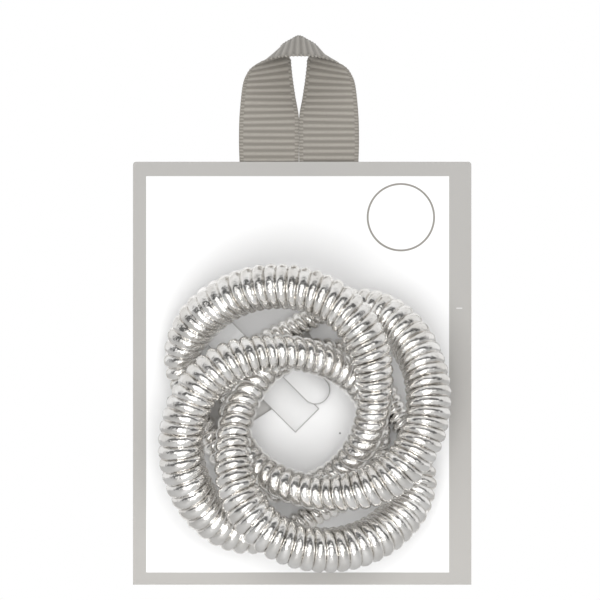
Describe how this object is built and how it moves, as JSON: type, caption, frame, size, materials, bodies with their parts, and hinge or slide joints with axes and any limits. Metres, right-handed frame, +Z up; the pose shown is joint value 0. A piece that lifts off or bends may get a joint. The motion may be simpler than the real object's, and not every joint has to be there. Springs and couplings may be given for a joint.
{
  "type": "carded spiral hair ties",
  "caption": "Retail card with a ribbon hang loop, a printed panel and a paper strap that holds interlinked coiled hair ties.",
  "frame": {"origin": "where a shop peg touches the underside of the ribbon loop, on the middle plane between the card's two boards", "axes": "+Z up the card, +X to the viewer's right, -Y out of the card's printed face"},
  "size_m": [0.0744, 0.032, 0.1211],
  "materials": {
    "printed_card": "matte, white panel inside a warm grey border",
    "plain_card": "matte warm grey",
    "glue": "dried glue",
    "ribbon": "ribbed grosgrain, taupe",
    "silver_coil": "bright silver plating on a plastic coil",
    "white_paper": "matte"
  },
  "bodies": {
    "card": {"card_front": "printed_card", "card_back": "plain_card", "board_glue": "glue", "ribbon_tails": "ribbon", "ribbon_glue": "glue"},
    "loop": {"ribbon_loop": "ribbon"},
    "bundle": {"tie_upper_left": "silver_coil", "tie_left": "silver_coil", "tie_bottom": "silver_coil", "tie_right": "silver_coil", "paper_strap": "white_paper"},
    "tongue": {"strap_tongue": "white_paper"}
  },
  "joints": [
    {"name": "loop_flop", "type": "hinge", "parent": "card", "child": "loop", "pos_m": [0, 0, -0.0222], "axis": [1, 0, 0], "range_deg": [-70, 70], "stiffness_Nm_per_rad": 0.0006},
    {"name": "bundle_pull", "type": "slide", "parent": "card", "child": "bundle", "axis": [0, -1, 0], "range_m": [0, 0.04]},
    {"name": "tongue_lift", "type": "hinge", "parent": "bundle", "child": "tongue", "pos_m": [-0.0013, -0.00198, -0.0679], "axis": [-0.7071, 0, -0.7071], "range_deg": [0, 40], "stiffness_Nm_per_rad": 0.0002}
  ]
}
